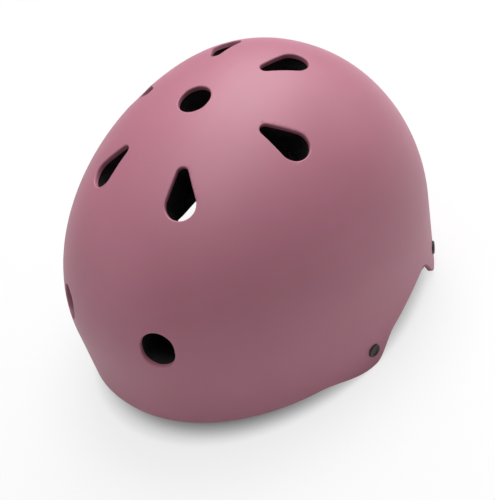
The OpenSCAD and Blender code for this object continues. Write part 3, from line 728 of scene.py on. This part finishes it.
def stitch_spots(seams):
    """Places of stitches along lines of pattern points."""
    for line in seams:
        run = distance_along(line)
        for s in np.arange(STITCH_START, run[-1] - STITCH_STOP, STITCH_PITCH):
            point, near = (np.array([np.interp(t, run, line[:, k]) for k in range(3)])
                           for t in (s, s + 0.5))
            yield point + [0, 0, STITCH_LIFT], near - point


def panel_faces(nu, nv, wrap, under):
    """Faces of a pad's top, and of its underside, whose points are listed in under."""
    faces = []
    for i in range(nu if wrap else nu - 1):
        for j in range(nv - 1):
            i2 = (i + 1) % nu
            quad = (i * nv + j, i2 * nv + j, i2 * nv + j + 1, i * nv + j + 1)
            faces += [quad, tuple(int(under[v]) for v in quad[::-1])]
    return faces


def rim_loops(grid, wrap):
    """The loops of points along the edge of a pad's grid."""
    if wrap:
        return [grid[:, 0], grid[:, -1][::-1]]
    return [np.concatenate([grid[:-1, 0], grid[-1, :-1], grid[:0:-1, -1], grid[0, :0:-1]])]


def cushion(label, cad_node, flat, lay, gap, nu, nv, wrap, seams):
    """A sewn pad: two panels joined along an edge, blown up in its pattern and laid on the liner.

    flat gives a point of the pattern and how far out it is, lay puts it in the helmet, and gap
    is its distance from the nearest sewn channel. A pad that wraps is a ring."""
    along_it = np.arange(nu) / nu if wrap else np.linspace(-1, 1, nu)
    P, Q = np.meshgrid(along_it, np.linspace(-1, 1, nv), indexing="ij")
    X, Y, R = flat(P, Q)
    D = gap(P, Q)
    edge = np.abs(Q) > NEARLY_ONE
    if not wrap:
        edge |= np.abs(P) > NEARLY_ONE
    sewn = (D < SEWN_HALF) & ~edge
    full = PAD_THICK * swell(R)
    H = LIMP * full * (1 - DIP * np.exp(-(D / DIP_HALF) ** 2))
    H[edge] = EDGE_HIGH
    H[sewn] = SEWN_HIGH
    top = np.stack([X, Y, H], -1).reshape(-1, 3)
    inner = np.where(~edge.ravel())[0]
    under = np.arange(nu * nv)
    under[inner] = nu * nv + np.arange(len(inner))
    low = top[inner] * [1, 1, 0] + [0, 0, UNDER_HIGH]
    points = np.concatenate([top, low])
    faces, uvs = panel_faces(nu, nv, wrap, under), points[:, :2] / PATTERN_UNIT
    obj = add_mesh(label + "_cushion", points * SIM * METRE, faces, angle=60, uvs=uvs)
    held = np.where((edge | sewn).ravel())[0]
    blown = blow_up(obj, np.concatenate([held, np.arange(nu * nv, len(points))]), PAD_STRETCH)
    limit = np.concatenate([full.ravel(), np.full(len(low), UNDER_HIGH)])
    limit[np.where(edge.ravel())[0]] = EDGE_HIGH
    blown[:, 2] = np.minimum(blown[:, 2], limit)
    settle(obj, lay(blown))
    dress(obj, PAD_CLOTH, "helmet", "pad_fabric", cad_node)
    loops = rim_loops(top.reshape(nu, nv, 3), wrap)
    piping = cord_mesh(label + "_binding", loops, CORD_R, sides=8, lay=lay)
    dress(piping, BINDING, "helmet", "pad_fabric")
    sewing = stitch_mesh(label + "_stitches", stitch_spots(seams), lay)
    dress(sewing, THREAD, "helmet", "pad_fabric")


def seam(flat, p, reach, count):
    """A sewn line across a pad."""
    X, Y, _ = flat(np.full(count, p), np.linspace(-reach, reach, count))
    return np.stack([X, Y, np.full(count, SEWN_HIGH)], -1)


def wall_pad(label, cad_node, at, half_angle, channels, columns):
    """A pad on the wall of the liner, centred at an angle and a height.

    The channels are shares of its half width."""
    u0, h0 = at
    ends = skin(np.array([u0 - half_angle, u0, u0 + half_angle]), h0, PAD_DEPTH)
    half = (np.linalg.norm(ends[1] - ends[0]) + np.linalg.norm(ends[2] - ends[1])) / 2 * PATTERN_EASE
    s, v = half - CORD_INSET, PAD_HALF - CORD_INSET

    def flat(P, Q):
        X, Y = s * P * (1 - CORNER_PULL * Q ** 4), v * Q * (1 - CORNER_PULL * P ** 4)
        return X, Y, (np.abs(X / half) ** 4 + np.abs(Y / PAD_HALF) ** 4) ** 0.25

    def gap(P, Q):
        return np.min([np.abs(P * s - c * s) for c in channels], axis=0)

    def lay(f):
        return skin(u0 + half_angle * f[:, 0] / half, h0 + f[:, 1], PAD_DEPTH + f[:, 2])

    seams = [seam(flat, c, reach=0.9, count=15) for c in channels]
    cushion(label, cad_node, flat, lay, gap, nu=columns, nv=22, wrap=False, seams=seams)


def crown_ring():
    """The ring pad at the crown, sewn into cells."""
    mid, half = (CROWN_PAD_OUT + CROWN_PAD_IN) / 2, (CROWN_PAD_OUT - CROWN_PAD_IN) / 2
    reach = half - RING_CORD_INSET

    def flat(P, Q):
        r, a = mid + reach * Q, 2 * np.pi * P
        return r * np.cos(a), r * np.sin(a), np.abs(Q * reach / half)

    def gap(P, Q):
        off = (P * CROWN_CELLS - np.round(P * CROWN_CELLS)) / CROWN_CELLS * 2 * np.pi
        return np.abs(off) * (mid + reach * Q)

    def lay(f):
        return over(CROWN_AT[0] + f[:, 0], CROWN_AT[1] + f[:, 1], PAD_DEPTH + f[:, 2])

    seams = [seam(flat, k / CROWN_CELLS, reach=0.85, count=9) for k in range(CROWN_CELLS)]
    cushion("crown_pad", "crown_pad", flat, lay, gap, nu=108, nv=14, wrap=True, seams=seams)


# Sections of the hook tape, as radius and depth: a ring in millimetres, a patch in shares of its half
RING_SECTION = [(19.8, 0), (28.2, 0), (28.5, 0.3), (28.5, 0.7), (28.2, 1), (24, 1), (19.8, 1),
                (19.5, 0.7), (19.5, 0.3)]
PATCH_SECTION = [(0.5, 0), (0.97, 0), (1, 0.3), (1, 0.7), (0.97, 1), (0.5, 1)]
PATCH_SPREAD = math.degrees(math.asin(PATCH_R / (HALF_W - LINER_IN))) * PATCH_EASE


def add_hook_patches():
    """The hook tape between the liner and the pads: a ring and four squarish patches."""
    a = circle(72)
    ring = [over(CROWN_AT[0] + r * np.cos(a), CROWN_AT[1] + r * np.sin(a), PATCH_DEPTH + d)
            for r, d in RING_SECTION]
    parts = [(np.concatenate(ring), hoop_faces(len(ring), len(a), flip=True))]
    wide, tall = bulge(np.cos(a)), bulge(np.sin(a))
    for u0, h0 in (BROW_AT, NAPE_AT, LEFT_AT, RIGHT_AT):
        rings = [skin(u0 + PATCH_SPREAD * r * wide, h0 + PATCH_R * r * tall, PATCH_DEPTH + d)
                 for r, d in PATCH_SECTION]
        middle = [skin(u0, h0, PATCH_DEPTH + d) for d in (0, PATCH_THICK)]
        parts.append(tube(middle[:1] + rings + middle[1:]))
    patches = add_mesh("hook_patches", *joined(parts), angle=50)
    face_outwards(patches.data)
    dress(patches, hook_tape(), "helmet", "hook_tape", "pad_patches")


# Webbing
def bezier(a, b, c, d, t):
    t = np.asarray(t, float)[:, None]
    return (1 - t) ** 3 * a + 3 * t * (1 - t) ** 2 * b + 3 * t * t * (1 - t) * c + t ** 3 * d


def band(name, path, across, cad_node, holes=()):
    """A flat woven band with rolled edges along a path, its width across it."""
    ahead = unit(np.gradient(path, axis=0))
    wide = unit(across - (across * ahead).sum(1, keepdims=True) * ahead)
    thick = unit(np.cross(ahead, wide))
    a = circle(32)
    x = WEB / 2 * np.sign(np.cos(a)) * np.abs(np.cos(a)) ** WEB_ROLL
    y = WEB_THICK / 2 * np.sign(np.sin(a)) * np.abs(np.sin(a)) ** WEB_BULGE
    rings = path[:, None] + wide[:, None] * x[:, None] + thick[:, None] * y[:, None]
    run = distance_along(path)
    pattern = np.stack(np.broadcast_arrays(run[:, None], x + WEAVE_BACK * y), -1).reshape(-1, 2)
    uvs = np.concatenate([[[0, 0]], pattern, [[run[-1], 0]]]) / PATTERN_UNIT
    obj = add_mesh(name, *tube([path[0], *rings, path[-1]]), angle=50, uvs=uvs)
    face_outwards(obj.data)
    if holes:
        cut(obj, holes, angle=50)
    dress(obj, WEAVE, "helmet", "webbing", cad_node)


def anchored(name, cad_node, angle, height, lean, slack, mouth, side):
    """From a rivet down the wall, under the rim and over the floor to a mouth of the divider."""
    n = skin_normal(angle, height - SKIRT)
    hole = skin(angle, height - SKIRT) - WEB_DEPTH * n
    along_wall = np.array([-n[1], n[0], 0])
    lean, mouth = math.radians(lean), math.radians(mouth)
    down = unit(np.array([0, 0, -math.cos(lean)]) - math.sin(lean) * along_wall)
    top, heel = hole - OVER_RIVET * down, hole + UNDER_RIVET * down
    toward = -np.array([math.cos(mouth), math.sin(mouth), 0])
    goal = DIVIDER_AT - CHIN_MOUTH * toward
    t = np.linspace(0, 1, 46)
    on_wall = top + (heel - top) * column(0, 1, 9)[:-1]
    lead = goal - STRAP_LEAD * toward - STRAP_DIP * UP
    path = np.concatenate([on_wall, bezier(heel, heel + slack * down, lead, goal, t)])
    start, end = np.cross(down, n), np.cross(toward, (0, 0, -1))
    k = np.concatenate([np.zeros(len(on_wall)), ease(t)])[:, None]
    across = start * (1 - k) + end * k
    flip = np.array([side, 1, 1])
    pin = [ring * flip for ring in pin_rings(hole, n, WEB_HOLE_R, PAST_WEB, sides=24)][::side]
    band(name, path * flip, across * flip, cad_node, [add_mesh("cutter", *tube(pin))])


def chin_turn(side):
    return math.radians(CHIN_ANGLE + (180 if side > 0 else 0))


def on_chin(points, side=1):
    """From a chin strap's own frame to the helmet's. The left side is 1, the right -1."""
    a = chin_turn(side)
    p = points + [CHIN_MOUTH, 0, 0]
    x = p[:, 0] * math.cos(a) - p[:, 1] * math.sin(a) + side * DIVIDER_AT[0]
    y = p[:, 0] * math.sin(a) + p[:, 1] * math.cos(a) + DIVIDER_AT[1]
    return np.stack([x, y, p[:, 2]], -1)


def chin_path(tail_length):
    """Out of the divider, up to the buckle's level, round its bar and back under itself."""
    def flat(x, z):
        return np.concatenate([x, 0 * x, z + 0 * x], 1)

    k, j = column(0, 1, 13), column(0, 1, 15)
    turn = np.radians(np.arange(80, -81, -10))[:, None]
    fold = CHIN_LENGTH - BAR_RISE - JOIN
    run = column(CHIN_LEVEL + CLIMB + JOIN, fold, 24)
    tail = column(fold, CHIN_LENGTH - tail_length, 12)
    return np.concatenate([
        flat(column(0, CHIN_LEVEL / 2, 2), DIVIDER_LEVEL),
        flat(CHIN_LEVEL + CLIMB * k, DIVIDER_LEVEL + (BUCKLE_LEVEL - DIVIDER_LEVEL) * ease(k)),
        flat(run, BUCKLE_LEVEL),
        flat(CHIN_LENGTH - BAR_RISE + BAR_RISE * j, BUCKLE_LEVEL + WRAP * ease(j)),
        flat(CHIN_LENGTH + WRAP * np.cos(turn), BUCKLE_LEVEL + WRAP * np.sin(turn)),
        flat(CHIN_LENGTH - BAR_RISE * j, BUCKLE_LEVEL - WRAP + (WRAP - LAYER) * ease(j)),
        flat(tail, BUCKLE_LEVEL - LAYER)])


def chin_webbing(word, side, tail_length):
    path, a = chin_path(tail_length), chin_turn(side)
    across = np.tile([-math.sin(a), math.cos(a), 0], (len(path), 1))
    band("chin_webbing_" + word, on_chin(path, side), across, "chin_strap_" + word)


def box_stitches():
    """The stitched box that holds the folded end of the left chin strap."""
    x0, x1, level = CHIN_LENGTH - BOX_FAR, CHIN_LENGTH - BOX_NEAR, BUCKLE_LEVEL + WEB_THICK / 2
    spots = [((x, y, level), (1.0, 0, 0)) for y in (-BOX_HALF, BOX_HALF)
             for x in np.arange(x0, x1 + 0.1, BOX_PITCH)]
    spots += [((x, y, level), (0, 1.0, 0)) for x in (x0 - BOX_MARGIN, x1 + BOX_MARGIN)
              for y in np.arange(-BOX_HALF, BOX_HALF + 0.1, BOX_PITCH)]
    spots = [(np.array(p), np.array(d)) for p, d in spots]
    box = stitch_mesh("chin_strap_stitches", spots, on_chin, long=1.5, radius=0.2)
    dress(box, THREAD, "helmet", "webbing")


def corner(c):
    return np.sign(c) * np.sqrt(np.abs(c))


def sleeve_points(S, A):
    """The sleeve's outside before the air and its slot, and the height that it may reach."""
    full = SLEEVE_END + (1 - SLEEVE_END) * np.sqrt(np.clip(1 - (2 * S - 1) ** 6, 0, 1))
    x, tall = SLEEVE_START + SLEEVE_LENGTH * S, SLEEVE_TALL * full
    half = SLEEVE_HALF * (0.9 + 0.1 * full)
    outer = np.stack([x, (half - HEM_INSET) * corner(np.cos(A)),
                      tall * SLEEVE_LIMP * corner(np.sin(A))], -1)
    slot = np.stack([x, SLOT_HALF * corner(np.cos(A)), SLOT_TALL * corner(np.sin(A))], -1)
    return np.concatenate([outer.reshape(-1, 3), slot.reshape(-1, 3)]), tall.ravel()


def sleeve_faces(rows, around):
    """Faces of the sleeve's outside and slot, and of its two ends."""
    slot, end, faces = rows * around, (rows - 1) * around, []
    for i in range(rows - 1):
        for j in range(around):
            a, b = i * around + j, i * around + (j + 1) % around
            c, d = b + around, a + around
            faces += [(d, c, b, a), (slot + b, slot + c, slot + d, slot + a)]
    for j in range(around):
        k = (j + 1) % around
        faces += [(k, slot + k, slot + j, j), (slot + end + j, slot + end + k, end + k, end + j)]
    return faces


def add_sleeve(rows, around):
    """The padded sleeve, blown up between its sewn edges, and its hems."""
    turn = 2 * np.pi * np.arange(around) / around
    S, A = np.meshgrid(np.linspace(0, 1, rows), turn, indexing="ij")
    points, tall = sleeve_points(S, A)
    uvs = np.stack([points[:, 0], np.tile((A * SLEEVE_ROUND).ravel(), 2)], -1) / PATTERN_UNIT
    faces = sleeve_faces(rows, around)
    sleeve = add_mesh("chin_sleeve", points * SIM * METRE, faces, angle=60, uvs=uvs)
    held = np.abs(np.sin(A)) < SLEEVE_SEWN
    held[0] = held[-1] = held[rows // 2] = True
    slot = np.arange(held.size, 2 * held.size)
    blown = blow_up(sleeve, np.concatenate([np.where(held.ravel())[0], slot]), SLEEVE_STRETCH)
    limit = np.concatenate([tall, np.full(held.size, 2 * SLEEVE_TALL)])
    blown[:, 2] = np.clip(blown[:, 2], -limit, limit) + BUCKLE_LEVEL
    settle(sleeve, on_chin(blown))
    dress(sleeve, PAD_CLOTH, "chin_pad", "pad_fabric", "chin_pad")
    add_hems(turn)


def add_hems(turn):
    """Piping round the two ends of the sleeve, at these angles round it."""
    b = circle(8)[:, None]
    flat = np.stack([0 * turn, HEM_HALF * corner(np.cos(turn)), HEM_TALL * corner(np.sin(turn))], -1)
    parts = []
    for share, way in ((0, -1), (1, 1)):
        line = flat + [SLEEVE_START + SLEEVE_LENGTH * share, 0, 0]
        round_it = unit(flat)[:, None] * np.cos(b) + np.array([way, 0, 0]) * np.sin(b)
        hoop = (line[:, None] + HEM_R * round_it).reshape(-1, 3) + [0, 0, BUCKLE_LEVEL]
        parts.append((hoop, hoop_faces(len(turn), len(b), flip=True)))
    verts, faces = joined(parts)
    verts = on_chin(verts)
    uvs = verts[:, :2] / PATTERN_UNIT
    hem = add_mesh("chin_sleeve_binding", verts, faces, angle=60, uvs=uvs)
    face_outwards(hem.data)
    dress(hem, BINDING, "chin_pad", "pad_fabric")


# Camera, floor, backdrop and light
def add_camera():
    """The photograph's camera. It looks along minus back, and is rolled about it."""
    az, el, roll = (math.radians(v) for v in (AZIMUTH, ELEVATION, ROLL))
    back = Vector((math.sin(az) * math.cos(el), -math.cos(az) * math.cos(el), math.sin(el)))
    right = Vector((0, 0, 1)).cross(back).normalized()
    up = back.cross(right)
    x_axis = math.cos(roll) * right + math.sin(roll) * up
    y_axis = -math.sin(roll) * right + math.cos(roll) * up
    cam = bpy.data.cameras.new("Camera")
    cam.sensor_fit = "HORIZONTAL"
    cam.sensor_width = SENSOR_MM
    cam.lens = FOCAL_PX * SENSOR_MM / WIDTH_PX
    cam.clip_start, cam.clip_end = 0.05, 20
    camera = add_object("Camera", cam)
    camera.matrix_world = Matrix((*zip(x_axis, y_axis, back, EYE), (0, 0, 0, 1)))
    scene.camera = camera


def add_floor():
    """A pale floor that the camera sees as nearly white, but for the part inside the helmet."""
    mat = bpy.data.materials.new("floor")
    mat.use_nodes = True
    tree = mat.node_tree
    tree.nodes.clear()
    matte = node(tree, "BsdfDiffuse", Color=(0.9, 0.9, 0.9, 1))
    glow = node(tree, "Emission", Color=(1, 1, 1, 1), Strength=1.0)
    spot = place(tree)
    away = node(tree, "VectorMath", {0: spot}, _operation="LENGTH").outputs["Value"]
    far = remap(tree, away, 0.75, 1.0, **{"From Min": 0.3, "From Max": 1.2})
    oval = node(tree, "VectorMath", {0: spot}, _operation="MULTIPLY")
    oval.inputs[1].default_value = (METRE / HALF_W, METRE / FRONT, 0)
    reach = node(tree, "VectorMath", {0: oval.outputs["Vector"]}, _operation="LENGTH").outputs["Value"]
    beside = remap(tree, reach, 0.12, 1.0, **{"From Min": 0.85, "From Max": 1.0})
    camera_ray = node(tree, "LightPath").outputs["Is Camera Ray"]
    share = math2(tree, "MULTIPLY", camera_ray, math2(tree, "MULTIPLY", far, beside))
    mix = node(tree, "MixShader", {"Fac": share, 1: matte.outputs[0], 2: glow.outputs[0]})
    node(tree, "OutputMaterial", {0: mix.outputs[0]})
    bpy.ops.mesh.primitive_grid_add(x_subdivisions=8, y_subdivisions=8, size=6,
                                    location=(0, 0, -0.0002))
    floor = bpy.context.object
    floor.name = "floor"
    floor.data.materials.append(mat)


def add_world():
    """Dim light from all round, which the camera sees as white."""
    world = bpy.data.worlds.new("studio")
    scene.world = world
    world.use_nodes = True
    tree = world.node_tree
    tree.nodes.clear()
    dim = node(tree, "Background", Color=(1, 1, 1, 1), Strength=0.07)
    white = node(tree, "Background", Color=(1, 1, 1, 1), Strength=1.0)
    camera_ray = node(tree, "LightPath").outputs["Is Camera Ray"]
    mix = node(tree, "MixShader", {"Fac": camera_ray, 1: dim.outputs[0], 2: white.outputs[0]})
    node(tree, "OutputWorld", {0: mix.outputs[0]})


# Soft boxes: name, place, width and height in metres, and power in watts. All face AIM
AIM = Vector((0, 0, 0.08))
LAMPS = [
    ("top", (0, 0, 1.6), (1.6, 1.6), 16.2),
    ("high_back", (-0.4, 0.9, 1.5), (1.2, 1.2), 21.0),
    ("right_back", (0.5, 1.6, 1.0), (1.2, 1.0), 4.8),
    ("left", (-1.1, -1.35, 0.5), (1.2, 1.0), 2.2)]


def add_lamp(name, where, size, power):
    lamp = bpy.data.lights.new(name, "AREA")
    lamp.shape, lamp.energy = "RECTANGLE", power
    lamp.size, lamp.size_y = size
    obj = add_object(name, lamp)
    obj.location = where
    obj.rotation_euler = (AIM - Vector(where)).to_track_quat("-Z", "Y").to_euler()


add_shell()
add_liner()
paint_hardware()
crown_ring()
wall_pad("brow_pad", "brow_pad", BROW_AT, half_angle=32, channels=THIRDS, columns=73)
wall_pad("nape_pad", "nape_pad", NAPE_AT, half_angle=27, channels=THIRDS, columns=61)
wall_pad("side_pad_l", "side_pad_left", LEFT_AT, half_angle=19, channels=MIDDLE, columns=45)
wall_pad("side_pad_r", "side_pad_right", RIGHT_AT, half_angle=19, channels=MIDDLE, columns=45)
add_hook_patches()
for side, word in ((1, "left"), (-1, "right")):
    anchored("front_webbing_" + word, "front_strap_" + word, *FRONT_RIVET,
             -FRONT_LEAN, FRONT_SLACK, -MOUTH_ANGLE, side)
    anchored("rear_webbing_" + word, "rear_strap_" + word, *REAR_RIVET,
             REAR_LEAN, REAR_SLACK, MOUTH_ANGLE, side)
chin_webbing("left", 1, LEFT_TAIL)
chin_webbing("right", -1, RIGHT_TAIL)
box_stitches()
add_sleeve(rows=31, around=48)
add_camera()
add_floor()
add_world()
for lamp in LAMPS:
    add_lamp(*lamp)

scene.view_settings.view_transform = "Standard"
